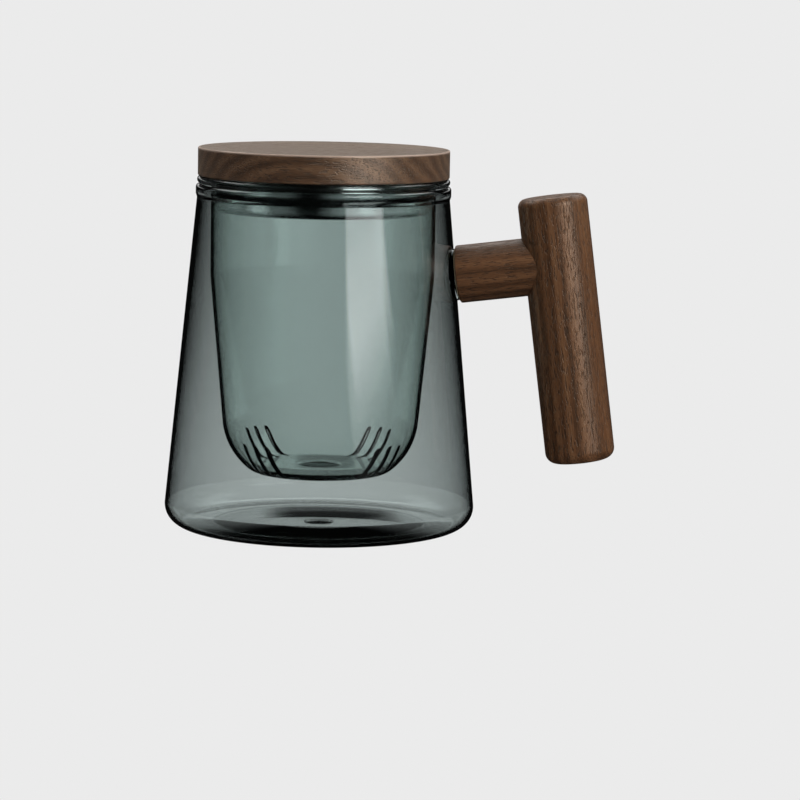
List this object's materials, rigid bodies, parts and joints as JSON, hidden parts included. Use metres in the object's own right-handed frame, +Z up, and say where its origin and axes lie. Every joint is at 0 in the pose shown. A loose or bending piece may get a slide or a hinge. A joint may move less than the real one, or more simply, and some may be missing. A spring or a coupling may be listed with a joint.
{
  "type": "lidded infuser mug",
  "caption": "Tapered smoked-glass tea mug with a T-shaped wooden handle, a lift-out slotted glass infuser and a lift-off wooden lid with a steel liner.",
  "frame": {"origin": "middle of the mug's foot ring, on the table", "axes": "+Z up along the mug's axis, +X towards the handle"},
  "size_m": [0.1441, 0.0992, 0.1211],
  "materials": {
    "smoked_glass": "clear smoked grey, fire-polished",
    "infuser_glass": "clear smoked grey, fire-polished",
    "walnut_disc": "oiled walnut, satin",
    "liner_steel": "polished stainless steel",
    "walnut_arm": "oiled walnut, satin",
    "walnut_grip": "oiled walnut, satin",
    "dowel_wood": "plain hardwood",
    "pad_silicone": "pale translucent silicone"
  },
  "bodies": {
    "mug": {"mug_body": "smoked_glass", "handle_pad": "pad_silicone", "handle_arm": "walnut_arm", "handle_dowel": "dowel_wood", "handle_grip": "walnut_grip"},
    "infuser": {"infuser_cup": "infuser_glass"},
    "lid": {"lid_disc": "walnut_disc", "lid_liner": "liner_steel"}
  },
  "joints": [
    {"name": "infuser_lift", "type": "slide", "parent": "mug", "child": "infuser", "axis": [0, 0, 1], "range_m": [0, 0.11]},
    {"name": "lid_lift", "type": "slide", "parent": "infuser", "child": "lid", "axis": [0, 0, 1], "range_m": [0, 0.06]}
  ]
}
